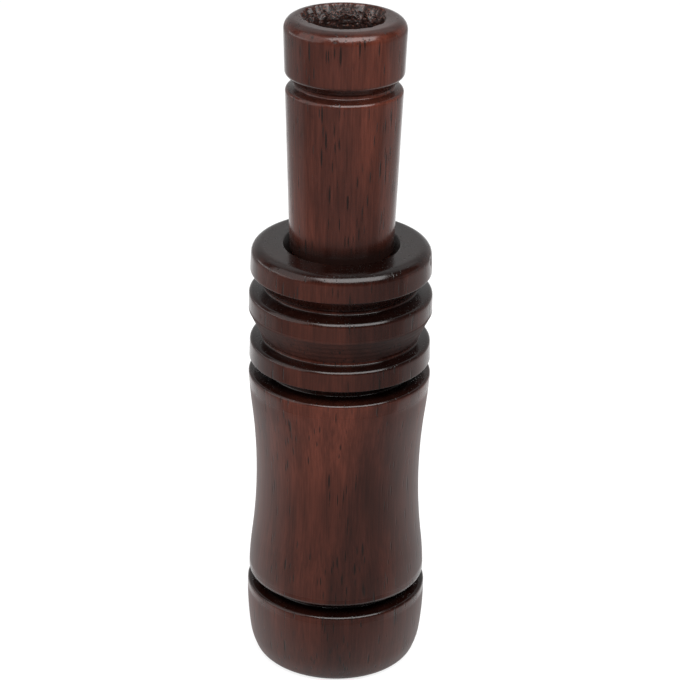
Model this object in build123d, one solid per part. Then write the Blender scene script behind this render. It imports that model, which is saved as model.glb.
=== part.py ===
from build123d import *
import math
import os

os.makedirs("parts", exist_ok=True)

# A turned wooden bird call: a barrel to blow into and a stopper that carries the reeds.
# It stands on its mouth end at z = 0, with +Z along its axis towards the exhaust hole.
# All sizes are in millimetres.

# Barrel outside, from the mouth end up
barrel_length = 86.8
base_edge_round = 2.4
bead_radius = 17.53
bead_height = 15.7
bead_lip_round = 0.7
bead_belly_drop = 2.2
bead_side_length = 8.5
bead_side_fall = 0.55
bead_foot_length = 2.8
bead_foot_fall = 0.7
foot_groove_width = 2.55
foot_groove_depth = 2.8
body_foot_radius = 17.22
waist_radius = 15.84
waist_swell = 0.88
body_flare_length = 7.0
body_top_radius = 17.4
body_top_land = 0.9
body_top_round = 0.6
body_groove_width = 2.8
body_groove_depth = 3.2
groove_wall_rise = 0.3
groove_root_round = 0.35

# Barrel rings, each with a bevel below and a rounded lip above
low_ring_radius = 17.28
low_ring_height = 3.9
low_ring_draft = 0.12
low_ring_round = 0.8
low_groove_depth = 2.35
low_groove_rise = 0.5
ring_root_width = 0.5
ring_root_round = 0.3
middle_bevel_height = 4.85
middle_ring_radius = 17.37
middle_ring_height = 3.85
middle_ring_round = 1.05
high_groove_depth = 2.6
high_groove_rise = 0.8
high_bevel_height = 2.85
high_ring_radius = 17.12
high_ring_height = 5.15
high_ring_draft = 0.2
high_ring_round = 2.0
bevel_corner_round = 0.25

# Barrel inside
mouth_bore_radius = 7.5
mouth_bore_length = 10.0
mouth_lip_round = 1.5
socket_bore_radius = 9.5
socket_mouth_flare = 1.6
socket_mouth_depth = 1.9
socket_mouth_round = 0.35

# Stopper
stopper_reach = 43.5
mouth_gap = 1.33
shoulder_depth = 0.9
shoulder_round = 0.15
stem_length = 30.4
stem_taper = 1.08
stem_lip_round = 0.8
cap_groove_width = 3.0
cap_groove_depth = 1.65
cap_groove_rise = 0.6
cap_foot_rise = 1.8
cap_overhang = 0.13
cap_foot_round = 0.9
cap_flare = 0.35
cap_rim_round = 2.1
dish_angle = 3.0
exhaust_radius = 7.0
exhaust_edge_round = 0.7
tenon_clearance = 0.3
tenon_length = 23.5
tenon_end_round = 0.6

# Seal rings in the tenon
o_ring_section = 1.7
o_ring_clearance = 0.025
o_ring_groove_width = 2.1
o_ring_inset = 6.0

# Tone board
tenon_wall = 1.75
glue_gap = 0.03
spigot_length = 22.0
spigot_relief = 1.0
spigot_wall = 0.95
spigot_end_round = 0.4
board_clearance = 1.7
board_tip_clearance = 3.4
board_tip_round = 2.5
air_bore_radius = 2.8
seat_wall = 1.0
notch_back_wall = 2.0
notch_length = 12.0
channel_lead = 0.8
channel_end_inset = 6.5
channel_floor_round = 2.2

# Reeds and the wedge that holds them
reed_thickness = 0.35
reed_width = 12.5
reed_tail_gap = 0.3
reed_corner_round = 2.4
reed_tip_overhang = 0.4
short_reed_setback = 2.6
reed_flex_angle = 1.8
reed_flex_clearance = 0.3
wedge_clearance = 0.03
wedge_back_height = 1.75
wedge_slope_angle = 7.0
wedge_overhang = 2.0
wedge_side_inset = 0.2
wedge_nose_round = 1.0

# Heights and radii that follow from the sizes above
bead_belly_height = bead_height - bead_belly_drop
bead_turn = (bead_radius - bead_side_fall, bead_belly_height - bead_side_length)
bead_foot = (bead_turn[0] - bead_foot_fall, bead_turn[1] - bead_foot_length)
body_foot_height = bead_height + foot_groove_width
high_ring_foot = barrel_length - high_ring_height
high_groove_root = high_ring_foot - high_bevel_height
middle_ring_top = high_groove_root - ring_root_width - high_groove_rise
middle_ring_foot = middle_ring_top - middle_ring_height
low_groove_root = middle_ring_foot - middle_bevel_height
low_ring_top = low_groove_root - ring_root_width - low_groove_rise
low_ring_foot = low_ring_top - low_ring_height
body_top_height = low_ring_foot - body_groove_width
socket_floor_height = mouth_bore_length + socket_bore_radius - mouth_bore_radius
socket_mouth_radius = socket_bore_radius + socket_mouth_flare

tenon_radius = socket_bore_radius - tenon_clearance
shoulder_height = barrel_length - shoulder_depth
tenon_end_height = shoulder_height - tenon_length
stem_foot_radius = socket_mouth_radius - mouth_gap
stem_lip_radius = stem_foot_radius + stem_taper
stem_lip_height = barrel_length + stem_length
cap_foot_radius = stem_lip_radius + cap_overhang
cap_foot_height = stem_lip_height + cap_groove_width
cap_radius = cap_foot_radius + cap_flare
exhaust_edge_height = barrel_length + stopper_reach
cap_corner_height = exhaust_edge_height + (cap_radius - exhaust_radius) * math.tan(math.radians(dish_angle))
exhaust_floor_height = tenon_end_height + spigot_length + spigot_relief

o_ring_seat_radius = socket_bore_radius - o_ring_section - 2 * o_ring_clearance
o_ring_centre_radius = socket_bore_radius - o_ring_clearance - o_ring_section / 2
lower_o_ring_height = tenon_end_height + o_ring_inset
upper_o_ring_height = shoulder_height - o_ring_inset

spigot_bore_radius = o_ring_seat_radius - tenon_wall
spigot_radius = spigot_bore_radius - glue_gap
board_radius = socket_bore_radius - board_clearance
board_tip_height = socket_floor_height + board_tip_clearance
air_bore_offset = spigot_radius - spigot_wall - air_bore_radius
seat_y = air_bore_offset - air_bore_radius - seat_wall
notch_back_height = tenon_end_height - notch_back_wall
head_foot_height = notch_back_height - notch_length
flex_height = head_foot_height - wedge_overhang
ramp_slope = math.tan(math.radians(reed_flex_angle + reed_flex_clearance))
wedge_slope = math.tan(math.radians(wedge_slope_angle))
reed_stack_y = seat_y - 2 * reed_thickness
wedge_front_y = reed_stack_y - wedge_clearance
wedge_back_end = notch_back_height - reed_tail_gap
wedge_length = wedge_back_end - flex_height
wedge_under_back_y = wedge_front_y - wedge_length * ramp_slope
wedge_top_back_y = wedge_under_back_y - wedge_back_height
wedge_top_nose_y = wedge_top_back_y - wedge_length * wedge_slope


def rounded_line(corners):
    """Line through corners given as (radius, height, rounding), where the two ends have no rounding."""
    points = [(corner[0], corner[1]) for corner in corners]
    roundings = [corner[2] for corner in corners[1:-1]]
    return FilletPolyline(*points, radius=roundings)


def rounded_loop(corners):
    """Closed outline through corners given as (radius, height, rounding)."""
    points = [(corner[0], corner[1]) for corner in corners]
    roundings = [corner[2] for corner in corners]
    return FilletPolyline(*points, radius=roundings, close=True)


def turned(*outline):
    """Solid turned about Z from the edges of a closed outline drawn as radius and height."""
    return revolve(Plane.XZ * make_face(outline), Axis.Z)


def side_cut(points, half_width):
    """Prism across X from an outline drawn as (y, z), as deep as half_width to each side."""
    face = Plane.YZ * make_face(Polyline(*points, close=True))
    return extrude(face, amount=half_width, both=True)


def barrel():
    """Barrel: bead, waisted body and three rings outside, mouth bore and stopper socket inside."""
    belly = (bead_radius, bead_belly_height)
    bead_side = TangentArc(belly, bead_turn, tangent=(0, -1))
    bead_base = TangentArc(bead_turn, bead_foot, tangent=bead_side % 1)
    base_run = bead_base % 1
    base_corner_radius = bead_foot[0] - bead_foot[1] * base_run.X / base_run.Y

    foot_groove_radius = body_foot_radius - foot_groove_depth
    foot_groove = rounded_line([
        (*belly, 0),
        (bead_radius, bead_height, bead_lip_round),
        (foot_groove_radius, bead_height + groove_wall_rise, groove_root_round),
        (foot_groove_radius, body_foot_height - groove_wall_rise, groove_root_round),
        (body_foot_radius, body_foot_height, 0),
    ])

    # The waist is a long hollow arc that runs smoothly into a short swelling arc at each end.
    body_land_height = body_top_height - body_top_land
    waist_end_radius = waist_radius + waist_swell
    waist_low = (waist_end_radius, body_foot_height + body_flare_length)
    waist_high = (waist_end_radius, body_land_height - body_flare_length)
    waist_middle = (waist_radius, (waist_low[1] + waist_high[1]) / 2)
    waist = ThreePointArc(waist_low, waist_middle, waist_high)
    low_flare = TangentArc(waist_low, (body_foot_radius, body_foot_height), tangent=-(waist % 0))
    high_flare = TangentArc(waist_high, (body_top_radius, body_land_height), tangent=waist % 1)

    body_groove_radius = low_ring_radius - body_groove_depth
    low_groove_radius = middle_ring_radius - low_groove_depth
    high_groove_radius = high_ring_radius - high_groove_depth
    rings_and_bore = rounded_line([
        (body_top_radius, body_land_height, 0),
        (body_top_radius, body_top_height, body_top_round),
        (body_groove_radius, body_top_height + groove_wall_rise, groove_root_round),
        (body_groove_radius, low_ring_foot - groove_wall_rise, groove_root_round),
        (low_ring_radius, low_ring_foot, 0),
        (low_ring_radius - low_ring_draft, low_ring_top, low_ring_round),
        (low_groove_radius, low_groove_root - ring_root_width, ring_root_round),
        (low_groove_radius, low_groove_root, ring_root_round),
        (middle_ring_radius, middle_ring_foot, bevel_corner_round),
        (middle_ring_radius, middle_ring_top, middle_ring_round),
        (high_groove_radius, high_groove_root - ring_root_width, ring_root_round),
        (high_groove_radius, high_groove_root, ring_root_round),
        (high_ring_radius, high_ring_foot, bevel_corner_round),
        (high_ring_radius - high_ring_draft, barrel_length, high_ring_round),
        (socket_mouth_radius, barrel_length, socket_mouth_round),
        (socket_bore_radius, barrel_length - socket_mouth_depth, 0),
        (socket_bore_radius, socket_floor_height, 0),
        (mouth_bore_radius, mouth_bore_length, 0),
        (mouth_bore_radius, 0, mouth_lip_round),
        (base_corner_radius, 0, base_edge_round),
        (*bead_foot, 0),
    ])
    return turned(bead_side, bead_base, foot_groove, low_flare, waist, high_flare, rings_and_bore)


def stopper():
    """Stopper: tenon with two ring grooves, tapered stem, groove, cap and bored exhaust hole."""
    half_groove = o_ring_groove_width / 2
    tenon_grooves = []
    for height in (lower_o_ring_height, upper_o_ring_height):
        tenon_grooves.append((tenon_radius, height - half_groove, 0))
        tenon_grooves.append((o_ring_seat_radius, height - half_groove, 0))
        tenon_grooves.append((o_ring_seat_radius, height + half_groove, 0))
        tenon_grooves.append((tenon_radius, height + half_groove, 0))

    cap_groove_radius = stem_lip_radius - cap_groove_depth
    outline = rounded_loop([
        (spigot_bore_radius, tenon_end_height, 0),
        (tenon_radius, tenon_end_height, tenon_end_round),
        *tenon_grooves,
        (tenon_radius, shoulder_height, 0),
        (stem_foot_radius, shoulder_height, shoulder_round),
        (stem_lip_radius, stem_lip_height, stem_lip_round),
        (cap_groove_radius, stem_lip_height + cap_groove_rise, groove_root_round),
        (cap_groove_radius, cap_foot_height - cap_foot_rise, groove_root_round),
        (cap_foot_radius, cap_foot_height, cap_foot_round),
        (cap_radius, cap_corner_height, cap_rim_round),
        (exhaust_radius, exhaust_edge_height, exhaust_edge_round),
        (exhaust_radius, exhaust_floor_height, 0),
        (spigot_bore_radius, exhaust_floor_height, 0),
    ])
    return turned(outline)


def o_ring(height):
    """Seal ring at the given height, between the bottom of its groove and the socket's wall."""
    return Pos(0, 0, height) * Torus(o_ring_centre_radius, o_ring_section / 2)


def tone_board():
    """Tone board: spigot, round head with the wedge notch, and half-round board with its channel."""
    outline = rounded_loop([
        (0, board_tip_height, 0),
        (board_radius, board_tip_height, board_tip_round),
        (board_radius, tenon_end_height, 0),
        (spigot_radius, tenon_end_height, 0),
        (spigot_radius, tenon_end_height + spigot_length, spigot_end_round),
        (0, tenon_end_height + spigot_length, 0),
    ])
    blank = turned(outline)

    # Everything in front of the reed seat and its ramp goes, and the wedge notch under the head's roof.
    below_tip = board_tip_height - board_radius
    ramp_end_y = seat_y + (flex_height - below_tip) * ramp_slope
    roof_back_y = wedge_top_back_y - wedge_clearance
    roof_front_y = roof_back_y - (wedge_back_end - head_foot_height) * wedge_slope
    in_front_y = -2 * board_radius
    face_cut = side_cut([
        (seat_y, notch_back_height),
        (seat_y, flex_height),
        (ramp_end_y, below_tip),
        (in_front_y, below_tip),
        (in_front_y, head_foot_height),
        (roof_front_y, head_foot_height),
        (roof_back_y, wedge_back_end),
        (roof_back_y, notch_back_height),
    ], 2 * board_radius)

    # The sound channel lies open under the reeds, and its floor rises over the half towards the tip.
    channel_start = flex_height - channel_lead
    channel_end = board_tip_height + channel_end_inset
    channel_floor_y = air_bore_offset + air_bore_radius
    above_face_y = seat_y - 2 * reed_thickness
    channel = side_cut([
        (above_face_y, channel_start),
        (channel_floor_y, channel_start),
        (channel_floor_y, (channel_start + channel_end) / 2),
        (above_face_y, channel_end),
    ], air_bore_radius)
    floor_edges = [
        edge for edge in channel.edges()
        if abs((edge % 0.5).Z) > 0.5 and edge.center().Y > seat_y
    ]
    channel = fillet(floor_edges, min(channel_floor_round, 0.8 * air_bore_radius))

    air_bore_length = tenon_end_height + spigot_length - channel_start
    air_bore = Pos(0, air_bore_offset, channel_start + air_bore_length / 2) * Cylinder(
        air_bore_radius, air_bore_length)
    return blank - face_cut - channel - air_bore


def reed(layer, setback):
    """Film reed, flat on the seat or on the reed below it, with round corners at its free tip."""
    tail = notch_back_height - reed_tail_gap
    tip = board_tip_height - reed_tip_overhang + setback
    half_width = reed_width / 2
    film = FilletPolyline(
        (-half_width, tail),
        (half_width, tail),
        (half_width, tip),
        (-half_width, tip),
        radius=[0, 0, reed_corner_round, reed_corner_round],
        close=True,
    )
    lower_face = Plane((0, seat_y - layer * reed_thickness, 0), x_dir=(1, 0, 0), z_dir=(0, -1, 0))
    return extrude(lower_face * make_face(film), amount=reed_thickness)


def cork_wedge():
    """Cork wedge: tight on the reeds at its nose, relieved behind so that their tails can rock."""
    block = side_cut([
        (wedge_front_y, flex_height),
        (wedge_under_back_y, wedge_back_end),
        (wedge_top_back_y, wedge_back_end),
        (wedge_top_nose_y, flex_height),
    ], board_radius)
    nose_edges = [edge for edge in block.edges()
                  if abs((edge % 0.5).X) > 0.5 and edge.center().Y < wedge_top_back_y
                  and edge.center().Z < wedge_back_end - wedge_length / 2]
    block = fillet(nose_edges, wedge_nose_round)
    height = (flex_height + wedge_back_end) / 2
    envelope = Pos(0, 0, height) * Cylinder(board_radius - wedge_side_inset, 2 * wedge_length)
    return block & envelope


pieces = {
    "barrel": barrel(),
    "stopper": stopper(),
    "lower_o_ring": o_ring(lower_o_ring_height),
    "upper_o_ring": o_ring(upper_o_ring_height),
    "tone_board": tone_board(),
    "long_reed": reed(0, 0),
    "short_reed": reed(1, short_reed_setback),
    "cork_wedge": cork_wedge(),
}

for name, piece in pieces.items():
    export_step(piece, f"parts/{name}.step")
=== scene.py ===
import math

import bmesh
import bpy
import numpy as np
from mathutils import Matrix


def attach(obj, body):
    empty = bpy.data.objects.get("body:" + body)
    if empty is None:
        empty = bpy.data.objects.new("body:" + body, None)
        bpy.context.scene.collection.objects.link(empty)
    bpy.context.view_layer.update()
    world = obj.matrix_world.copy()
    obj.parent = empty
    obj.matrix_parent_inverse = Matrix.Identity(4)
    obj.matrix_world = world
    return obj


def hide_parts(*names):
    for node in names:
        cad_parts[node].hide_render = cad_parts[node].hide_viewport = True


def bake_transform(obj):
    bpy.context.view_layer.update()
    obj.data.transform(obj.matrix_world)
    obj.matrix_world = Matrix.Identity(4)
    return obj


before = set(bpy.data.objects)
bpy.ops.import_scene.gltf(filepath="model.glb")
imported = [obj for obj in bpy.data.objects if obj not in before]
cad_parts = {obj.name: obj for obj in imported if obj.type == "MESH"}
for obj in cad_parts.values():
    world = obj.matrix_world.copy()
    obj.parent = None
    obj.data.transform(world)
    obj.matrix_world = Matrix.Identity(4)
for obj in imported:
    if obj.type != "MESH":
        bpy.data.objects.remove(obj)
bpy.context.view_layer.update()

# Barrel: the lower half of the call, which is blown into. It is one piece of dark stained walnut, turned on
# a lathe with a bead at the mouth end, a waisted body and three rings. It is bored right through and has a
# clear lacquer.

mm = 0.001


def divided(points, spacing):
    """The same line with points added evenly on each straight step, so that none is longer than spacing."""
    steps = np.linalg.norm(np.diff(points, axis=0), axis=1)
    parts = np.maximum(np.ceil(steps / spacing), 1).astype(int)
    step = np.repeat(np.arange(len(parts)), parts)
    share = (np.arange(parts.sum()) - (np.cumsum(parts) - parts)[step]) / parts[step]
    between = points[step] + share[:, None] * (points[step + 1] - points[step])
    return np.vstack([between, points[-1:]])


def arc_between(start, end, heading, spacing):
    """Arc from start to end that sets out along heading, and its heading at the end. The centre lies one
    radius to the side, which is the chord squared over twice the chord's part across the heading."""
    start = np.asarray(start, float)
    chord = np.asarray(end, float) - start
    heading = np.asarray(heading, float) / np.hypot(*heading)
    across = np.array((-heading[1], heading[0]))
    turn = 2 * math.atan2(chord @ across, chord @ heading)
    radius = chord @ chord / (2 * (chord @ across))
    widest_turn = math.radians(10)
    steps = max(2, math.ceil(abs(turn) / widest_turn), math.ceil(abs(radius * turn) / spacing))
    angles = np.linspace(0, turn, steps + 1)[:, None]
    points = start + radius * np.sin(angles) * heading + radius * (1 - np.cos(angles)) * across
    return points, heading * math.cos(turn) + across * math.sin(turn)


def rounded_run(corners, spacing):
    """Line through corners given as (radius, height, rounding): straight runs, with an arc that touches both
    runs in place of each corner. The arc starts and ends the rounding times the tangent of half the turn
    away from the corner."""
    places = np.array([corner[:2] for corner in corners], float)
    runs = np.diff(places, axis=0)
    headings = runs / np.linalg.norm(runs, axis=1)[:, None]
    line = [places[:1]]
    for place, corner, before, after in zip(places[1:], corners[1:-1], headings, headings[1:]):
        turn = math.acos(np.clip(before @ after, -1, 1))
        reach = corner[2] * math.tan(turn / 2)
        arc, _ = arc_between(place - reach * before, place + reach * after, before, spacing)
        line.append(arc)
    line.append(places[-1:])
    return divided(np.vstack(line), spacing)


def joined(*lines):
    """One line from several that follow on, without the point that each shares with the line before."""
    return np.vstack([lines[0]] + [line[1:] for line in lines[1:]])


def turned_grid(outline, columns, proud):
    """Points of a closed outline of (radius, height) turned about Z, as rows of the outline and columns of
    the angle from the front. Each point first moves by proud along the outline's normal, which lies to the
    right of its run."""
    run = np.roll(outline, -1, axis=0) - np.roll(outline, 1, axis=0)
    run /= np.linalg.norm(run, axis=1)[:, None]
    radius = outline[:, :1] + proud * run[:, 1:]
    height = outline[:, 1:] - proud * run[:, :1]
    angle = np.linspace(0, 2 * np.pi, columns, endpoint=False)
    return np.stack([radius * np.sin(angle), -radius * np.cos(angle), height + 0 * radius], axis=-1)


def wrapped_quads(rows, columns):
    """Quads of a grid that closes on itself both ways, facing along the outline's normal."""
    here = np.arange(rows * columns).reshape(rows, columns)
    beside = np.roll(here, -1, axis=1)
    above = np.roll(here, -1, axis=0)
    return np.stack([here, beside, np.roll(beside, -1, axis=0), above], axis=-1).reshape(-1, 4)


def new_piece(name, points, faces, material, masks):
    """Smooth-shaded object at the origin from points in millimetres, with each mask as a point attribute."""
    mesh = bpy.data.meshes.new(name)
    mesh.from_pydata((points.reshape(-1, 3) * mm).tolist(), [], faces)
    mesh.polygons.foreach_set("use_smooth", np.ones(len(mesh.polygons), bool))
    for mask_name, mask in masks.items():
        stored = mesh.attributes.new(mask_name, "FLOAT", "POINT")
        stored.data.foreach_set("value", np.asarray(mask, np.float32).ravel())
    mesh.materials.append(material)
    piece = bpy.data.objects.new(name, mesh)
    bpy.context.scene.collection.objects.link(piece)
    return piece


def smooth_step(low, high, value):
    """Share from 0 at low to 1 at high that starts and ends level."""
    share = np.clip((value - low) / (high - low), 0, 1)
    return share * share * (3 - 2 * share)


def lattice_noise(around, along, cells_around, cells_along, seed):
    """Noise from -1 to 1 over around and along, both from 0 to 1: seeded random values on a lattice that
    closes round the axis, with a smooth step from each value to the next."""
    lattice = np.random.default_rng(seed).uniform(-1, 1, (cells_along + 2, cells_around))
    column = around * cells_around
    row = along * cells_along
    left = np.floor(column).astype(int)
    below = np.floor(row).astype(int)
    right_share = smooth_step(0, 1, column - left)
    above_share = smooth_step(0, 1, row - below)
    left %= cells_around
    right = (left + 1) % cells_around
    lower = lattice[below, left] * (1 - right_share) + lattice[below, right] * right_share
    upper = lattice[below + 1, left] * (1 - right_share) + lattice[below + 1, right] * right_share
    return lower * (1 - above_share) + upper * above_share


def pits(outline, columns, marks):
    """Depth of round-bottomed pits over a turned grid. A mark is (angle in degrees from the front, height,
    half width, half height, depth), and each pit falls off as a bell curve across and along the grain."""
    angle = np.linspace(0, 2 * np.pi, columns, endpoint=False)
    depth = np.zeros((len(outline), columns))
    for turn, height, half_width, half_height, deepest in marks:
        off = (angle - math.radians(turn) + np.pi) % (2 * np.pi) - np.pi
        across = outline[:, :1] * off / half_width
        along = (outline[:, 1:] - height) / half_height
        depth = np.maximum(depth, deepest * np.exp(-across ** 2 - along ** 2))
    return depth


def node(tree, kind, inputs=None, **settings):
    """Adds a node to a tree: inputs gives sockets, by name or number, a value or another node's output."""
    made = tree.nodes.new("ShaderNode" + kind)
    for setting, value in settings.items():
        setattr(made, setting, value)
    for socket, value in (inputs or {}).items():
        if isinstance(value, bpy.types.NodeSocket):
            tree.links.new(value, made.inputs[socket])
        else:
            made.inputs[socket].default_value = value
    return made


def maths(tree, operation, *values):
    """Output of a Math node for the values or sockets given."""
    return node(tree, "Math", dict(enumerate(values)), operation=operation).outputs[0]


def scaled(tree, vector, factors):
    """Vector with each part multiplied by its factor."""
    return node(tree, "VectorMath", {0: vector, 1: factors}, operation="MULTIPLY").outputs[0]


def noise(tree, vector, scale, detail, roughness=0.5):
    """Noise from 0 to 1 at the given scale."""
    inputs = {"Vector": vector, "Scale": scale, "Detail": detail, "Roughness": roughness}
    return node(tree, "TexNoise", inputs).outputs[0]


def ranged(tree, value, low, high, to_low=0.0, to_high=1.0):
    """Value between low and high carried smoothly to the range from to_low to to_high."""
    inputs = {0: value, 1: low, 2: high, 3: to_low, 4: to_high}
    return node(tree, "MapRange", inputs, interpolation_type="SMOOTHSTEP").outputs[0]


def mixed(tree, share, first, second, mode="MIX"):
    """Colour that goes from first to second with the share."""
    inputs = {0: share, 6: first, 7: second}
    return node(tree, "Mix", inputs, data_type="RGBA", blend_type=mode).outputs[2]


def new_group(name, inputs, outputs):
    """Empty node group with the named sockets, and its input and output nodes."""
    tree = bpy.data.node_groups.new(name, "ShaderNodeTree")
    for socket_name, kind in inputs.items():
        tree.interface.new_socket(name=socket_name, in_out="INPUT", socket_type="NodeSocket" + kind)
    for socket_name, kind in outputs.items():
        tree.interface.new_socket(name=socket_name, in_out="OUTPUT", socket_type="NodeSocket" + kind)
    return tree, tree.nodes.new("NodeGroupInput").outputs, tree.nodes.new("NodeGroupOutput").inputs


def new_material(name):
    """Material with its node tree and its Principled shader."""
    material = bpy.data.materials.new(name)
    material.use_nodes = True
    return material, material.node_tree, material.node_tree.nodes["Principled BSDF"]


def pore_dashes(tree, position, squeeze, scale, kept):
    """Open pores cut lengthwise: the cores of cells stretched along Z, of which the share kept is shown."""
    stretched = scaled(tree, position, (1.0, 1.0, squeeze))
    inputs = {"Vector": stretched, "Scale": scale, "Randomness": 1.0}
    cells = node(tree, "TexVoronoi", inputs, feature="F1").outputs
    core = ranged(tree, cells["Distance"], 0.14, 0.30, 1.0, 0.0)
    chance = node(tree, "SeparateColor", {0: cells["Color"]}).outputs[0]
    return maths(tree, "MULTIPLY", core, maths(tree, "LESS_THAN", chance, kept))


def walnut_group():
    """Node group for stained walnut in millimetres, with the grain along Z: leaning growth bands, long
    streaks, blotches, fine fibres and short open pores. End grain is darker, and masks say where the wood is
    darkened by stain and by painted shade, is worn dull, is torn, or is bare wood and painted shade, both
    near black."""
    inputs = {"Position": "Vector", "Facing": "Vector"}
    for mask in ("StainAndShade", "Dull", "Torn", "BareAndShade"):
        inputs[mask] = "Float"
    outputs = {"Colour": "Color", "Roughness": "Float", "Height": "Float"}
    tree, given, made = new_group("stained walnut", inputs, outputs)
    red_wood = (0.091, 0.0240, 0.0149, 1)
    dark_wood = (0.053, 0.0146, 0.0097, 1)
    pore_wood = (0.006, 0.003, 0.002, 1)
    torn_wood = (0.044, 0.0130, 0.008, 1)
    fleck_wood = (0.25, 0.120, 0.080, 1)
    # Near black, painted shade: the bores, the gaps in torn wood and the stem's foot
    painted_shade_wood = (0.006, 0.003, 0.0025, 1)
    band_period = 27.0
    arch_height = 60.0
    arch_lean = 0.20
    arch_turn = 0.25
    arch_wander = 9.0
    dark_band = 7.5
    mineral_shade = 0.72
    end_shade = 0.40
    pore_cover = 0.90
    pore_roughness = 0.15
    dull_roughness = 0.7
    torn_roughness = 0.40
    bare_and_shade_roughness = 0.45
    pore_depth = 0.030
    ripple_depth = 0.012

    position = given["Position"]
    warp = noise(tree, scaled(tree, position, (0.10, 0.10, 0.020)), 1.0, 3.0)
    place = node(tree, "SeparateXYZ", {0: position}).outputs
    from_arch = maths(tree, "ABSOLUTE", maths(tree, "SUBTRACT", place[2], arch_height))
    across = maths(tree, "MULTIPLY_ADD", place[1], arch_turn, place[0])
    across = maths(tree, "MULTIPLY_ADD", from_arch, arch_lean, across)
    warped = maths(tree, "MULTIPLY_ADD", maths(tree, "SUBTRACT", warp, 0.5), arch_wander, across)
    phase = maths(tree, "MULTIPLY", maths(tree, "SUBTRACT", warped, dark_band), 2 * math.pi / band_period)
    band = ranged(tree, maths(tree, "COSINE", phase), -0.4, 0.9)
    lengthwise = scaled(tree, position, (1.0, 1.0, 0.03))
    streak = noise(tree, lengthwise, 0.9, 4.0, 0.62)
    blotch = noise(tree, scaled(tree, position, (0.32, 0.32, 0.06)), 1.0, 3.0, 0.6)
    fibre = noise(tree, lengthwise, 3.4, 2.0, 0.6)
    mineral = ranged(tree, noise(tree, lengthwise, 1.7, 3.0, 0.7), 0.60, 0.70)
    crowding = noise(tree, scaled(tree, position, (0.22, 0.22, 0.03)), 1.0, 2.0)
    small_kept = ranged(tree, crowding, 0.35, 0.65, 0.10, 0.70)
    large_kept = ranged(tree, crowding, 0.42, 0.66, 0.03, 0.60)
    pore = maths(
        tree, "MAXIMUM",
        pore_dashes(tree, position, 0.085, 2.0, small_kept),
        pore_dashes(tree, position, 0.095, 1.2, large_kept))

    wood = mixed(tree, band, red_wood, dark_wood)
    wood = mixed(tree, 1.0, wood, ranged(tree, streak, 0.32, 0.68, 0.88, 1.12), "MULTIPLY")
    wood = mixed(tree, 1.0, wood, ranged(tree, blotch, 0.36, 0.64, 0.84, 1.16), "MULTIPLY")
    wood = mixed(tree, 1.0, wood, ranged(tree, fibre, 0.3, 0.7, 0.80, 1.18), "MULTIPLY")
    wood = mixed(tree, 1.0, wood, ranged(tree, mineral, 0.0, 1.0, 1.0, mineral_shade), "MULTIPLY")
    # Stain and painted shade darken the wood
    wood = mixed(tree, 1.0, wood, maths(tree, "SUBTRACT", 1.0, given["StainAndShade"]), "MULTIPLY")
    wood = mixed(tree, maths(tree, "MULTIPLY", pore, pore_cover), wood, pore_wood)

    facing_up = node(tree, "SeparateXYZ", {0: given["Facing"]}).outputs[2]
    end_grain = ranged(tree, maths(tree, "ABSOLUTE", facing_up), 0.45, 0.95)
    wood = mixed(tree, 1.0, wood, ranged(tree, end_grain, 0.0, 1.0, 1.0, end_shade), "MULTIPLY")
    # Painted shade: the bare bores and the stem's foot go near black
    wood = mixed(tree, given["BareAndShade"], wood, painted_shade_wood)
    fleck = noise(tree, position, 2.6, 3.0, 0.7)
    torn = mixed(tree, ranged(tree, fleck, 0.46, 0.62), painted_shade_wood, torn_wood)
    torn = mixed(tree, ranged(tree, fleck, 0.62, 0.72), torn, fleck_wood)
    wood = mixed(tree, given["Torn"], wood, torn)
    tree.links.new(wood, made["Colour"])

    rough = maths(tree, "MULTIPLY_ADD", pore, pore_roughness, ranged(tree, fibre, 0.2, 0.8, 0.16, 0.23))
    rough = maths(tree, "MAXIMUM", rough, maths(tree, "MULTIPLY", given["Dull"], dull_roughness))
    rough = maths(tree, "MAXIMUM", rough, maths(tree, "MULTIPLY", given["Torn"], torn_roughness))
    rough = maths(tree, "MAXIMUM", rough, ranged(tree, given["BareAndShade"], 0.8, 1.0, 0.0, bare_and_shade_roughness))
    tree.links.new(rough, made["Roughness"])
    ripple = maths(tree, "MULTIPLY", streak, ripple_depth)
    height = maths(tree, "MULTIPLY_ADD", pore, -pore_depth, ripple)
    tree.links.new(height, made["Height"])
    return tree


def lacquered_walnut(name, figure, shift):
    """Clear lacquer over stained walnut: shift, in millimetres, says where in the log the piece was cut."""
    lacquer_index = 1.38
    material, tree, shader = new_material(name)
    coordinates = node(tree, "TexCoord")
    inputs = {"Vector": coordinates.outputs["Object"], "Location": shift, "Scale": (1 / mm, 1 / mm, 1 / mm)}
    in_log = node(tree, "Mapping", inputs)
    wood = node(tree, "Group", node_tree=figure)
    tree.links.new(in_log.outputs[0], wood.inputs["Position"])
    tree.links.new(coordinates.outputs["Normal"], wood.inputs["Facing"])
    for mask in ("StainAndShade", "Dull", "Torn", "BareAndShade"):
        tree.links.new(node(tree, "Attribute", attribute_name=mask).outputs["Fac"], wood.inputs[mask])
    relief = node(tree, "Bump", {"Height": wood.outputs["Height"], "Strength": 1.0, "Distance": mm})
    tree.links.new(wood.outputs["Colour"], shader.inputs["Base Color"])
    tree.links.new(wood.outputs["Roughness"], shader.inputs["Roughness"])
    tree.links.new(relief.outputs[0], shader.inputs["Normal"])
    shader.inputs["IOR"].default_value = lacquer_index
    return material


walnut = walnut_group()
barrel_wood = lacquered_walnut("lacquered_walnut_barrel", walnut, (0.0, 0.0, 0.0))

# Outline of the barrel as (radius, height, rounding) in millimetres, up the outside and down the bores
barrel_length = 86.8
fine_step = 0.5
bore_step = 2.5
belly = (17.53, 13.5)
bead_turn = (16.98, 5.0)
bead_foot = (16.28, 2.2)
body_foot = (17.22, 18.25)
body_land = (17.40, 60.2)
waist_low = (16.72, 25.25)
waist_high = (16.72, 53.2)
waist_swell = 0.88
mouth_radius = 7.5
socket_radius = 9.5
socket_floor = 12.0

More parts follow.
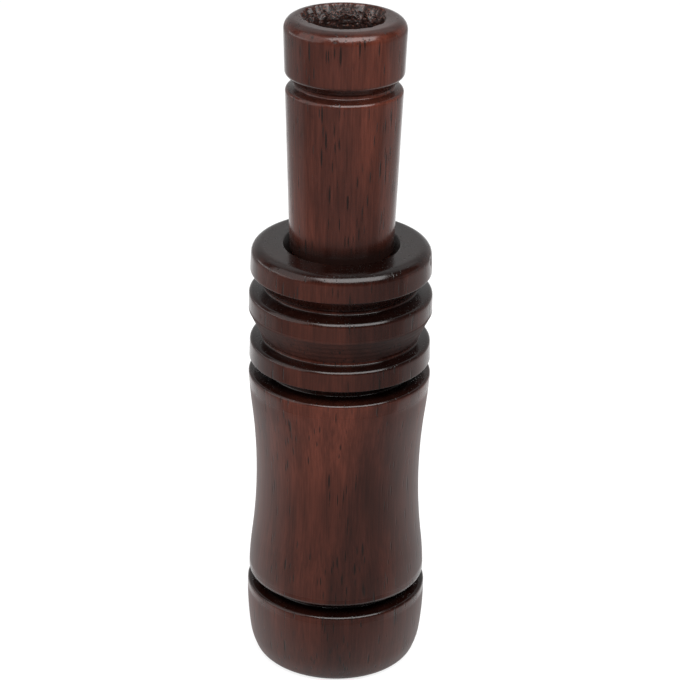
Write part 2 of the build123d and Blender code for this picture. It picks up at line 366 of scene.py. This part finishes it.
bead_side, bead_run = arc_between(belly, bead_turn, (0, -1), fine_step)
bead_base, base_run = arc_between(bead_turn, bead_foot, bead_run, fine_step)
base_corner = bead_foot[0] - bead_foot[1] * base_run[0] / base_run[1]
base = rounded_run([
    (mouth_radius, 1.5, 0),
    (mouth_radius, 0, 1.5),
    (base_corner, 0, 2.4),
    (*bead_foot, 0),
], fine_step)
foot_groove = rounded_run([
    (*belly, 0),
    (belly[0], 15.7, 0.7),
    (14.42, 16.0, 0.35),
    (14.42, 17.95, 0.35),
    (body_foot[0] - 0.15, body_foot[1] - 0.016, 0.12),
    (*body_foot, 0),
], fine_step)
half_waist = (waist_high[1] - waist_low[1]) / 2
waist_radius = (half_waist ** 2 + waist_swell ** 2) / (2 * waist_swell)
waist_lean = half_waist / waist_radius
waist_run = (-waist_lean, math.sqrt(1 - waist_lean ** 2))
waist, waist_end_run = arc_between(waist_low, waist_high, waist_run, fine_step)
low_flare, _ = arc_between(waist_low, body_foot, (-waist_run[0], -waist_run[1]), fine_step)
high_flare, _ = arc_between(waist_high, body_land, waist_end_run, fine_step)
bevel_start = (15.311, 69.4)
bevel_end = (16.9824, 72.85)
low_rings = rounded_run([
    (*body_land, 0),
    (17.40, 61.10, 0.60),
    (14.08, 61.40, 0.35),
    (14.08, 63.60, 0.35),
    (17.28, 63.90, 0.15),
    (17.16, 67.80, 0.80),
    (15.02, 68.30, 0.30),
    (15.02, 68.80, 0.30),
    (*bevel_start, 0),
], fine_step)
turned_bevel = divided(np.array([bevel_start, bevel_end]), 0.2)
high_rings = rounded_run([
    (*bevel_end, 0),
    (17.37, 73.65, 0.25),
    (17.37, 77.50, 1.05),
    (14.52, 78.30, 0.30),
    (14.52, 78.80, 0.30),
    (17.12, 81.65, 0.25),
    (16.92, barrel_length, 2.00),
    (11.10, barrel_length, 0.35),
    (socket_radius, 84.90, 0.30),
    (socket_radius, 84.00, 0),
], fine_step)
bores = rounded_run([
    (socket_radius, 84.00, 0),
    (socket_radius, socket_floor, 0.30),
    (mouth_radius, 10.0, 0.30),
    (mouth_radius, 1.5, 0),
], bore_step)
barrel_outline = joined(
    base, bead_base[::-1], bead_side[::-1], foot_groove, low_flare[::-1], waist, high_flare,
    low_rings, turned_bevel, high_rings, bores)[:-1]

barrel_columns = 232
barrel_radius, barrel_height = barrel_outline[:, :1], barrel_outline[:, 1:]

# The wood of the bores is bare, from the mouth's lip to the flare of the socket, and is painted near black as
# shade, which also darkens the flare round the stopper
flare_radius = 11.2
in_bores = (barrel_radius < flare_radius) & (barrel_height >= 1.0) & (barrel_height < barrel_length - 0.1)
barrel_bare_and_shade = np.repeat(in_bores.astype(float), barrel_columns, axis=1)

# The end grain drank more stain, and that mask also paints the dark reflection just under each lip's
# highlight. Painted shade darkens the grooves and the right side. The wood is darker from the rings up, and
# grows darker down the body towards the mouth end.
barrel_turn = (np.arange(barrel_columns)[None, :] * 360 / barrel_columns + 180) % 360 - 180
barrel_run = np.gradient(barrel_outline, axis=0)
barrel_up = -barrel_run[:, :1] / np.linalg.norm(barrel_run, axis=1)[:, None]
# End grain drank more stain; the low threshold also paints the dark reflection under each lip's highlight
end_stain_and_reflection = 0.60 * smooth_step(0.06, 0.45, barrel_up)
# Painted shade in the grooves, where little light reaches
groove_painted_shade = 0.70 * smooth_step(16.2, 15.0, barrel_radius) * (barrel_radius > 13) * (barrel_height > 14)
groove_painted_shade *= (barrel_height < 66)
# Darker from the rings up, and darker down the body towards the mouth end
upper_darkening = 0.50 * smooth_step(60.9, 63.5, barrel_height)
lower_darkening = 0.47 * smooth_step(60.0, 22.0, barrel_height)
lower_darkening -= 0.07 * smooth_step(17.0, 15.0, barrel_height)
# Painted shade on the right side, away from the light
side_painted_shade = 0.20 * smooth_step(0, 50, barrel_turn) * smooth_step(180, 120, barrel_turn)
undarkened = (1 - upper_darkening) * (1 - lower_darkening) * (1 - side_painted_shade)
barrel_stain_and_shade = 1 - undarkened * (1 - end_stain_and_reflection) * (1 - groove_painted_shade)

# Worn marks: a chip out of the top ring's lip on the right, and knocks on the left of the two upper rings
deep_chip = 0.25
knocks = np.random.default_rng(4)
barrel_marks = [(80, 84.4, 0.5, 0.8, 0.35)]
for _ in range(14):
    barrel_marks.append((
        knocks.uniform(-66, -36), knocks.uniform(69.5, 86.0),
        knocks.uniform(0.2, 0.4), knocks.uniform(0.25, 0.6), knocks.uniform(0.03, 0.09)))
barrel_chips = pits(barrel_outline, barrel_columns, barrel_marks)

# Ridges left by the turning tool across the bevel under the middle ring. The bevel is dull, and so are the
# bead and the body, where hands wear the lacquer.
ridge_period = 1.1
ridge_depth = 0.02
on_bevel = smooth_step(69.0, 69.5, barrel_height) * smooth_step(74.4, 73.8, barrel_height)
worn_grip = 0.65 * smooth_step(15.0, 13.5, barrel_height)
worn_grip += 0.62 * smooth_step(18.4, 20.0, barrel_height) * smooth_step(60.0, 57.0, barrel_height)
barrel_dull = np.repeat(np.maximum(on_bevel, worn_grip), barrel_columns, axis=1)
ridges = ridge_depth * on_bevel * np.cos(2 * np.pi * barrel_height / ridge_period)
barrel_points = turned_grid(barrel_outline, barrel_columns, ridges - barrel_chips)
barrel = new_piece(
    "barrel_turned",
    barrel_points,
    wrapped_quads(len(barrel_outline), barrel_columns).tolist(),
    barrel_wood,
    {
        "StainAndShade": barrel_stain_and_shade,
        "Dull": barrel_dull,
        "Torn": np.clip(barrel_chips / deep_chip, 0, 1),
        "BareAndShade": barrel_bare_and_shade,
    },
)
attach(barrel, "barrel")
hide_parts("barrel")

# Stopper: the upper half, pushed into the barrel and held by its seal rings. It is turned from the same
# walnut, with a tapered stem, a groove, a cap and an exhaust hole whose end grain tore when it was drilled.

stopper_wood = lacquered_walnut("lacquered_walnut_stopper", walnut, (2.5, 0.0, 0.0))
exhaust_radius = 7.0
exhaust_edge = 130.3
tenon_radius = 9.2
ring_seat = 7.75
half_groove = 1.05
seal_heights = {"lower_o_ring": 68.4, "upper_o_ring": 79.9}
cap_step = 0.48
tenon_step = 1.4
tear_step = 0.16
tear_top = 130.5
tear_floor = 126.0
cap_corner = (11.33, 130.527)
dish_edge = (8.9, 130.3996)

tenon = [(6.0, 62.4, 0), (tenon_radius, 62.4, 0.6)]
for ring_height in seal_heights.values():
    tenon.append((tenon_radius, ring_height - half_groove, 0.1))
    tenon.append((ring_seat, ring_height - half_groove, 0.1))
    tenon.append((ring_seat, ring_height + half_groove, 0.1))
    tenon.append((tenon_radius, ring_height + half_groove, 0.1))
tenon.append((tenon_radius, 85.9, 0.1))
tenon.append((9.77, 85.9, 0.15))
tenon.append((9.79, 86.5, 0))
stem_and_cap = rounded_run([
    (9.79, 86.5, 0),
    (10.85, 117.20, 0.80),
    (9.20, 117.80, 0.35),
    (9.20, 118.40, 0.35),
    (10.98, 120.20, 0.90),
    (*cap_corner, 2.10),
    (*dish_edge, 0),
], cap_step)
hole = rounded_run([
    (*dish_edge, 0),
    (exhaust_radius, exhaust_edge, 0.30),
    (exhaust_radius, tear_floor, 0),
], tear_step)
exhaust = rounded_run([
    (exhaust_radius, tear_floor, 0),
    (exhaust_radius, 85.4, 0.2),
    (6.0, 85.4, 0.2),
    (6.0, 62.4, 0),
], bore_step)
stopper_outline = joined(rounded_run(tenon, tenon_step), stem_and_cap, hole, exhaust)[:-1]
stopper_columns = 272
stopper_radius, stopper_height = stopper_outline[:, :1], stopper_outline[:, 1:]

# The exhaust bore is bare wood painted near black as shade, and painted shade darkens the foot of the stem
# where it meets the barrel's top face
inside = (stopper_radius < 7.6) & (stopper_height < 130.2)
painted_shade_foot = 0.92 * smooth_step(92.0, 87.2, stopper_height) * (stopper_radius > 9.3)
stopper_bare_and_shade = np.repeat(np.where(inside, 1.0, painted_shade_foot), stopper_columns, axis=1)

# Painted shade darkens the right side of the stopper, most of all on the cap
stopper_turn = (np.arange(stopper_columns)[None, :] * 360 / stopper_columns + 180) % 360 - 180
right_painted_shade = np.where(stopper_height > 118.1, 0.32, 0.22)
stopper_painted_shade = right_painted_shade * smooth_step(-20, 50, stopper_turn) * smooth_step(180, 120, stopper_turn)

# Torn end grain: the hole's edge breaks away as a ragged chamfer, wide at the back and thin at the front.
# Each point there moves outwards and down, by half the chamfer's size at the corner and less away from it.
around = np.linspace(0, 1, stopper_columns, endpoint=False)[None, :]
left_of_back = around * 360 - 182
torn_far = smooth_step(130, 42, left_of_back) * smooth_step(-84, -46, left_of_back)
ragged = lattice_noise(around, 0 * around, 46, 1, 11) + 0.6 * lattice_noise(around, 0 * around, 110, 1, 12)
front_tear = 0.30
added_at_back = 1.6
least_tear = 0.15
tear_width = front_tear + added_at_back * torn_far + (0.16 + 0.12 * torn_far) * ragged
tear_width = np.maximum(tear_width, least_tear)
ragged_depth = lattice_noise(around, 0 * around, 34, 1, 15)
tear_depth = 0.15 + (0.80 + 0.45 * ragged_depth) * tear_width
beyond_edge = np.clip(stopper_radius - exhaust_radius, 0, None) / tear_width
below_edge = np.clip(exhaust_edge - stopper_height, 0, None) / tear_depth
tear_share = np.clip(1 - np.maximum(beyond_edge, below_edge), 0, 1) * (stopper_height > tear_floor)
down_share = np.clip((tear_top - stopper_height) / (tear_top - tear_floor), 0, 1)
fibres = lattice_noise(around + 0 * down_share, down_share + 0 * around, 120, 14, 13)
fibres += 0.7 * lattice_noise(around + 0 * down_share, down_share + 0 * around, 240, 30, 14)
edge_splinter = 0.24
splinter = edge_splinter * fibres * np.clip(3 * tear_share, 0, 1) * smooth_step(0.3, 0.8, tear_width)

# Down the bore the drill's tearing fades, deeper in, into rough wood painted dark as shade, roughest under
# the widest part of the tear
fading_depth = 9.0
bore_splinter = 0.11
bore_depth = np.clip((exhaust_edge - stopper_height) / fading_depth, 0, 1) * inside
rough_wall = torn_far * inside * smooth_step(126.2, 127.4, stopper_height)
splinter = splinter + bore_splinter * fibres * rough_wall
bore_tear = inside * (0.95 - 0.5 * bore_depth) * (0.8 + 0.5 * fibres)

# Small dents on the left of the stem and on the front of the cap
deep_dent = 0.12
stopper_marks = [
    (308, 112.9, 0.25, 0.35, 0.10), (329, 114.5, 0.20, 0.30, 0.08), (314, 110.5, 0.22, 0.40, 0.08),
    (312, 106.2, 0.20, 0.30, 0.07), (351, 129.0, 0.45, 0.30, 0.14), (12, 128.9, 0.25, 0.25, 0.08)]
stopper_chips = pits(stopper_outline, stopper_columns, stopper_marks)
stopper_points = turned_grid(stopper_outline, stopper_columns, -stopper_chips)
round_angle = 2 * np.pi * around[0]
outwards = np.stack([np.sin(round_angle), -np.cos(round_angle), 0 * round_angle], axis=-1)
stopper_points += (tear_share * tear_width / 2 + splinter)[:, :, None] * outwards
stopper_points[:, :, 2] -= tear_share * tear_depth / 2 + np.abs(splinter)
stopper_torn = np.maximum.reduce([4 * tear_share, stopper_chips / deep_dent, bore_tear])
stopper = new_piece(
    "stopper_turned",
    stopper_points,
    wrapped_quads(len(stopper_outline), stopper_columns).tolist(),
    stopper_wood,
    {
        "StainAndShade": stopper_painted_shade,
        "Torn": np.clip(stopper_torn, 0, 1),
        "BareAndShade": stopper_bare_and_shade,
    },
)
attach(stopper, "stopper")
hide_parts("stopper")

# Seal rings: two moulded rubber O-rings, sprung into the grooves of the stopper's tenon. Squeezed against
# the barrel's socket, they hold the stopper by friction. A fine parting line runs round each at 45 degrees.

seal_rubber, seal_tree, seal_shader = new_material("moulded_rubber")
seal_place = node(seal_tree, "TexCoord").outputs["Object"]
seal_dust = noise(seal_tree, seal_place, 900.0, 3.0, 0.6)
clean_rubber = (0.010, 0.010, 0.010, 1)
dusty_rubber = (0.030, 0.029, 0.028, 1)
seal_colour = mixed(seal_tree, ranged(seal_tree, seal_dust, 0.45, 0.75), clean_rubber, dusty_rubber)
seal_tree.links.new(seal_colour, seal_shader.inputs["Base Color"])
seal_tree.links.new(ranged(seal_tree, seal_dust, 0.3, 0.7, 0.48, 0.66), seal_shader.inputs["Roughness"])

seal_centre = 8.625
seal_section = 0.85
seal_columns = 144
section_steps = 40
parting_height = 0.02
parting_width = 0.06
section_angle = np.linspace(0, 2 * np.pi, section_steps, endpoint=False)
off_parting = np.sin(section_angle - math.radians(45))
section_radius = seal_section + parting_height * np.exp(-(off_parting / parting_width) ** 2)
for ring_name, ring_height in seal_heights.items():
    ring_outline = np.stack([
        seal_centre + section_radius * np.cos(section_angle),
        ring_height + section_radius * np.sin(section_angle)], axis=-1)
    ring_points = turned_grid(ring_outline, seal_columns, np.zeros((len(ring_outline), seal_columns)))
    ring_quads = wrapped_quads(len(ring_outline), seal_columns).tolist()
    ring = new_piece(ring_name + "_moulded", ring_points, ring_quads, seal_rubber, {})
    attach(ring, "seal_rings")
    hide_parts(ring_name)

# Tone board: the black moulded plastic insert that carries the reeds. Its round spigot is glued into the
# stopper, and its flat face, sound channel and curved ramp lie under the reeds.

board_plastic, board_tree, board_shader = new_material("moulded_black_plastic")
board_place = node(board_tree, "TexCoord").outputs["Object"]
board_grain = noise(board_tree, board_place, 2600.0, 3.0, 0.6)
board_flow = noise(board_tree, scaled(board_tree, board_place, (1.0, 1.0, 0.15)), 260.0, 3.0, 0.5)
dark_plastic = (0.016, 0.0155, 0.015, 1)
light_plastic = (0.024, 0.023, 0.022, 1)
board_colour = mixed(board_tree, ranged(board_tree, board_flow, 0.35, 0.65), dark_plastic, light_plastic)
board_tree.links.new(board_colour, board_shader.inputs["Base Color"])
board_tree.links.new(ranged(board_tree, board_flow, 0.3, 0.7, 0.28, 0.40), board_shader.inputs["Roughness"])
grain_depth = 0.03 * mm
board_relief = node(board_tree, "Bump", {"Height": board_grain, "Strength": 1.0, "Distance": grain_depth})
board_tree.links.new(board_relief.outputs[0], board_shader.inputs["Normal"])

board_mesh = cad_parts["tone_board"].data.copy()
board_mesh.name = "tone_board_moulded"
board_form = bmesh.new()
board_form.from_mesh(board_mesh)
bmesh.ops.remove_doubles(board_form, verts=board_form.verts, dist=1e-6)
bmesh.ops.dissolve_limit(
    board_form, angle_limit=math.radians(1), use_dissolve_boundaries=False,
    verts=board_form.verts, edges=board_form.edges)
board_form.to_mesh(board_mesh)
board_form.free()
board_mesh.materials.clear()
board_mesh.materials.append(board_plastic)
board_mesh.polygons.foreach_set("use_smooth", np.ones(len(board_mesh.polygons), bool))
board_mesh.set_sharp_from_angle(angle=math.radians(28))
board = bpy.data.objects.new("tone_board_moulded", board_mesh)
bpy.context.scene.collection.objects.link(board)
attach(board, "stopper")
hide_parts("tone_board")

# Reeds: two strips of frosted polyester film, punched out with rounded tips, one on the other. The wedge
# clamps their tails to the tone board, and their free ends bend towards its ramp when the call is blown.


def ring_faces(rings, around):
    """Quads between rings of points that close on themselves, and one polygon over each end ring."""
    here = np.arange(rings * around).reshape(rings, around)
    beside = np.roll(here, -1, axis=1)
    quads = np.stack([here[:-1], beside[:-1], beside[1:], here[1:]], axis=-1).reshape(-1, 4).tolist()
    return quads + [here[0, ::-1].tolist(), here[-1].tolist()]


reed_film, film_tree, film_shader = new_material("frosted_film")
film_place = node(film_tree, "TexCoord").outputs["Object"]
film_frost = noise(film_tree, film_place, 3200.0, 2.0, 0.6)
film_scuff = noise(film_tree, scaled(film_tree, film_place, (1.0, 1.0, 0.06)), 1500.0, 3.0, 0.6)
scuffed_film = (0.72, 0.70, 0.62, 1)
clean_film = (0.82, 0.80, 0.73, 1)
film_colour = mixed(film_tree, ranged(film_tree, film_scuff, 0.35, 0.70), scuffed_film, clean_film)
film_tree.links.new(film_colour, film_shader.inputs["Base Color"])
film_tree.links.new(ranged(film_tree, film_frost, 0.3, 0.7, 0.30, 0.48), film_shader.inputs["Roughness"])
film_shader.inputs["Transmission Weight"].default_value = 0.25

reed_half_width = 6.25
reed_thickness = 0.35
reed_tail = 60.1
reed_corner = 2.4
corner_steps = 13
plain_steps = 56
across_steps = 15
for reed_name, reed_tip, reed_back in (("long_reed", 15.0, -1.58), ("short_reed", 17.6, -1.93)):
    corner_turn = np.linspace(0, np.pi / 2, corner_steps)
    corner_heights = reed_tip + reed_corner * (1 - np.cos(corner_turn))
    corner_widths = reed_half_width - reed_corner * (1 - np.sin(corner_turn))
    plain_heights = np.linspace(corner_heights[-1], reed_tail, plain_steps)[1:]
    reed_heights = np.concatenate([corner_heights, plain_heights])
    reed_widths = np.concatenate([corner_widths, np.full(len(plain_heights), reed_half_width)])
    share = np.concatenate([np.linspace(-1, 1, across_steps), np.linspace(1, -1, across_steps)])
    depth = np.repeat([reed_back - reed_thickness, reed_back], across_steps)
    reed_points = np.stack([
        reed_widths[:, None] * share,
        np.repeat(depth[None, :], len(reed_heights), axis=0),
        np.repeat(reed_heights[:, None], len(share), axis=1)], axis=-1)
    reed_faces = ring_faces(len(reed_heights), len(share))
    reed = new_piece(reed_name + "_film", reed_points, reed_faces, reed_film, {})
    reed.data.set_sharp_from_angle(angle=math.radians(35))
    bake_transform(reed)
    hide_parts(reed_name)

# Cork wedge: a block of natural cork, cut to the slope of the notch and the round of the bore. It is pushed
# in over the tails of the reeds and holds them by its springiness.

cork, cork_tree, cork_shader = new_material("cut_cork")
cork_place = node(cork_tree, "TexCoord").outputs["Object"]
dark_cork = (0.36, 0.205, 0.100, 1)
pale_cork = (0.54, 0.34, 0.185, 1)
cell_wall = (0.20, 0.105, 0.05, 1)
pit_floor = (0.085, 0.040, 0.020, 1)
cell_inputs = {"Vector": cork_place, "Scale": 1300.0, "Randomness": 1.0}
cork_cells = node(cork_tree, "TexVoronoi", cell_inputs, feature="F1").outputs["Distance"]
cork_tone = noise(cork_tree, cork_place, 420.0, 4.0, 0.6)
cork_colour = mixed(cork_tree, ranged(cork_tree, cork_tone, 0.30, 0.70), dark_cork, pale_cork)
cork_colour = mixed(cork_tree, ranged(cork_tree, cork_cells, 0.55, 0.85, 0.0, 0.45), cork_colour, cell_wall)
cork_pit = node(cork_tree, "Attribute", attribute_name="Pit").outputs["Fac"]
cork_colour = mixed(cork_tree, cork_pit, cork_colour, pit_floor)
cork_tree.links.new(cork_colour, cork_shader.inputs["Base Color"])
cork_tree.links.new(ranged(cork_tree, cork_tone, 0.3, 0.7, 0.75, 0.92), cork_shader.inputs["Roughness"])

# Section of the wedge as (Y, height, rounding), starting and ending halfway along the side on the reeds
bore_limit = 7.6
cork_step = 0.35
wedge_low = 46.4
beside_reeds = (-2.56, 53.2)
wedge_loop = rounded_run([
    (*beside_reeds, 0),
    (-2.812, reed_tail, 0.12),
    (-4.562, reed_tail, 0.12),
    (-6.2445, wedge_low, 1.0),
    (-2.31, wedge_low, 0.12),
    (*beside_reeds, 0),
], cork_step)[:-1]
wedge_middle = wedge_loop.mean(axis=0)

# Rings of points from one end of the wedge to the other, shrinking in steps to the middle of each end face
side_steps = 41
end_steps = 8
end_shares = np.linspace(0.12, 1.0, end_steps + 1)[:-1]
spread = np.concatenate([end_shares, np.ones(side_steps), end_shares[::-1]])
reach = np.concatenate([-np.ones(end_steps), np.linspace(-1, 1, side_steps), np.ones(end_steps)])
wedge_section = wedge_middle + spread[:, None, None] * (wedge_loop - wedge_middle)
wedge_half = np.sqrt(bore_limit ** 2 - wedge_section[:, :, 0] ** 2)
loop_share = (np.arange(len(wedge_loop)) / len(wedge_loop))[None, :]
reach_share = (reach[:, None] + 1) / 2
pit_noise = lattice_noise(loop_share + 0 * reach_share, reach_share + 0 * loop_share, 34, 20, 21)
pit_depth = 0.07
wedge_pits = smooth_step(0.42, 0.72, pit_noise) * (np.abs(reach[:, None]) < 0.97)
pulled_in = 1 - pit_depth * wedge_pits
wedge_section = wedge_middle + pulled_in[:, :, None] * (wedge_section - wedge_middle)
wedge_points = np.concatenate([(reach[:, None] * wedge_half)[:, :, None], wedge_section], axis=-1)
wedge_faces = ring_faces(len(reach), len(wedge_loop))
wedge = new_piece("cork_wedge_cut", wedge_points, wedge_faces, cork, {"Pit": wedge_pits})
wedge.data.set_sharp_from_angle(angle=math.radians(40))
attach(wedge, "cork_wedge")
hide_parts("cork_wedge")

# Studio: a pale floor, darker in front of the call, a pale backdrop, a bright softbox over the camera, a low
# strip and a dim panel on the left, and a dim panel overhead in a dark room. The camera stands where the
# photograph was taken from, above and in front.

world = bpy.data.worlds.new("dim room")
bpy.context.scene.world = world
world.use_nodes = True


def seen_directly(tree, rays):
    """1 for rays from the camera, from gloss or through glass, and 0 for rays that only carry light."""
    glossy_or_clear = maths(tree, "MAXIMUM", rays["Is Glossy Ray"], rays["Is Transmission Ray"])
    return maths(tree, "MAXIMUM", rays["Is Camera Ray"], glossy_or_clear)


room_tree = world.node_tree
room = room_tree.nodes["Background"]
room.inputs["Color"].default_value = (1, 1, 1, 1)
room_light = 0.06
pale_wall = 0.45
room_view = node(room_tree, "TexCoord").outputs["Generated"]
_, room_back, room_height = node(room_tree, "SeparateXYZ", {0: room_view}).outputs
low_wall = ranged(room_tree, room_height, 0.04, 0.30, pale_wall, 0.0)
low_wall = maths(room_tree, "MULTIPLY", low_wall, ranged(room_tree, room_back, -0.5, 0.0))
room_rays = node(room_tree, "LightPath").outputs
low_wall = maths(room_tree, "MULTIPLY", low_wall, seen_directly(room_tree, room_rays))
room_tree.links.new(maths(room_tree, "ADD", low_wall, room_light), room.inputs["Strength"])


def flat_sheet(name, corners, material):
    """Flat sheet through four corners in metres."""
    mesh = bpy.data.meshes.new(name)
    mesh.from_pydata(corners, [], [(0, 1, 2, 3)])
    mesh.materials.append(material)
    sheet = bpy.data.objects.new(name, mesh)
    bpy.context.scene.collection.objects.link(sheet)
    return sheet


# The floor glows beside and behind the call for rays that see it directly, so that it looks white there. In
# front of the call it is darker, so that less of its light falls on the wood.
floor_half = 3.0
floor_drop = 0.0002
dark_edge = -0.034
pale_edge = -0.0145
glow_edge = -0.0135
glow_inner = 0.070
glow_outer = 0.190
glow_spread = 0.134
white_glow = 0.80
pale_glow = 0.24
floor_material, floor_tree, floor_shader = new_material("pale_floor")
floor_shader.inputs["Roughness"].default_value = 0.9
floor_shader.inputs["Specular IOR Level"].default_value = 0.0
floor_shader.inputs["Emission Color"].default_value = (1, 1, 1, 1)
floor_place = node(floor_tree, "TexCoord").outputs["Object"]
floor_across, floor_behind, _ = node(floor_tree, "SeparateXYZ", {0: floor_place}).outputs
near_floor = (0.21, 0.21, 0.21, 1)
far_floor = (0.28, 0.28, 0.28, 1)
floor_share = ranged(floor_tree, floor_behind, dark_edge, pale_edge)
floor_colour = mixed(floor_tree, floor_share, near_floor, far_floor)
floor_tree.links.new(floor_colour, floor_shader.inputs["Base Color"])
floor_aside = maths(floor_tree, "ABSOLUTE", floor_across)
floor_aside = maths(floor_tree, "MULTIPLY_ADD", floor_behind, -glow_spread, floor_aside)
floor_glow = ranged(floor_tree, floor_aside, glow_inner, glow_outer, white_glow, pale_glow)
floor_glow = maths(floor_tree, "MULTIPLY", floor_glow, ranged(floor_tree, floor_behind, dark_edge, glow_edge))
floor_rays = node(floor_tree, "LightPath").outputs
floor_glow = maths(floor_tree, "MULTIPLY", floor_glow, seen_directly(floor_tree, floor_rays))
floor_tree.links.new(floor_glow, floor_shader.inputs["Emission Strength"])
floor_sides = [(-1, -1), (1, -1), (1, 1), (-1, 1)]
floor_corners = [(x * floor_half, y * floor_half, -floor_drop) for x, y in floor_sides]
floor = flat_sheet("floor", floor_corners, floor_material)

backdrop_back = 1.5
backdrop_top = 5.0
backdrop_material, _, backdrop_shader = new_material("pale_backdrop")
backdrop_shader.inputs["Base Color"].default_value = (0.6, 0.6, 0.6, 1)
backdrop_shader.inputs["Emission Color"].default_value = (1, 1, 1, 1)
backdrop_shader.inputs["Emission Strength"].default_value = 0.40
backdrop_sides = [(-1, 0), (1, 0), (1, 1), (-1, 1)]
backdrop_corners = [(x * floor_half, backdrop_back, z * backdrop_top) for x, z in backdrop_sides]
backdrop = flat_sheet("backdrop", backdrop_corners, backdrop_material)


def softbox(name, place, aim, size, radiance):
    """Rectangular lamp at place, turned to aim, with its power set from the radiance of its face: power is
    radiance times the face's area times pi."""
    lamp = bpy.data.lights.new(name, "AREA")
    lamp.shape = "RECTANGLE"
    lamp.size, lamp.size_y = size
    lamp.energy = radiance * size[0] * size[1] * math.pi
    holder = bpy.data.objects.new(name, lamp)
    away = np.array(place, float) - np.array(aim, float)
    away /= np.linalg.norm(away)
    steep = abs(away[2]) > 0.8
    side = np.cross((0, 1, 0) if steep else (0, 0, 1), away)
    side /= np.linalg.norm(side)
    turned = np.identity(4)
    turned[:3, :3] = np.stack([side, np.cross(away, side), away], axis=1)
    turned[:3, 3] = place
    holder.matrix_world = Matrix(turned.tolist())
    bpy.context.scene.collection.objects.link(holder)


call_middle = (0, 0, 0.066)
softbox("front_softbox", (0.112, -0.343, 0.545), call_middle, (0.80, 0.42), 7.4)
softbox("left_panel", (-0.80, -0.29, 0.55), call_middle, (1.0, 0.9), 1.60)
softbox("top_panel", (0, 0.40, 1.00), call_middle, (1.6, 0.9), 0.45)
softbox("left_softbox", (-0.75, 0.02, 0.12), call_middle, (1.0, 0.09), 2.4)

camera_lens = 122.58
camera_tilt = math.radians(24.389)
camera_roll = math.radians(1.046)
camera_distance = 0.44189
camera_aim = np.array((0.000019, 0, 0.06674))
ahead = np.array((0, math.cos(camera_tilt), -math.sin(camera_tilt)))
level_right = np.array((1, 0, 0))
level_up = np.cross(level_right, ahead)
right = level_right * math.cos(camera_roll) + level_up * math.sin(camera_roll)
up = level_up * math.cos(camera_roll) - level_right * math.sin(camera_roll)
camera_data = bpy.data.cameras.new("camera")
camera_data.lens = camera_lens
camera = bpy.data.objects.new("camera", camera_data)
stand = np.identity(4)
stand[:3, :3] = np.stack([right, up, -ahead], axis=1)
stand[:3, 3] = camera_aim - camera_distance * ahead
camera.matrix_world = Matrix(stand.tolist())
bpy.context.scene.collection.objects.link(camera)
bpy.context.scene.camera = camera
bpy.context.scene.view_settings.view_transform = "Standard"
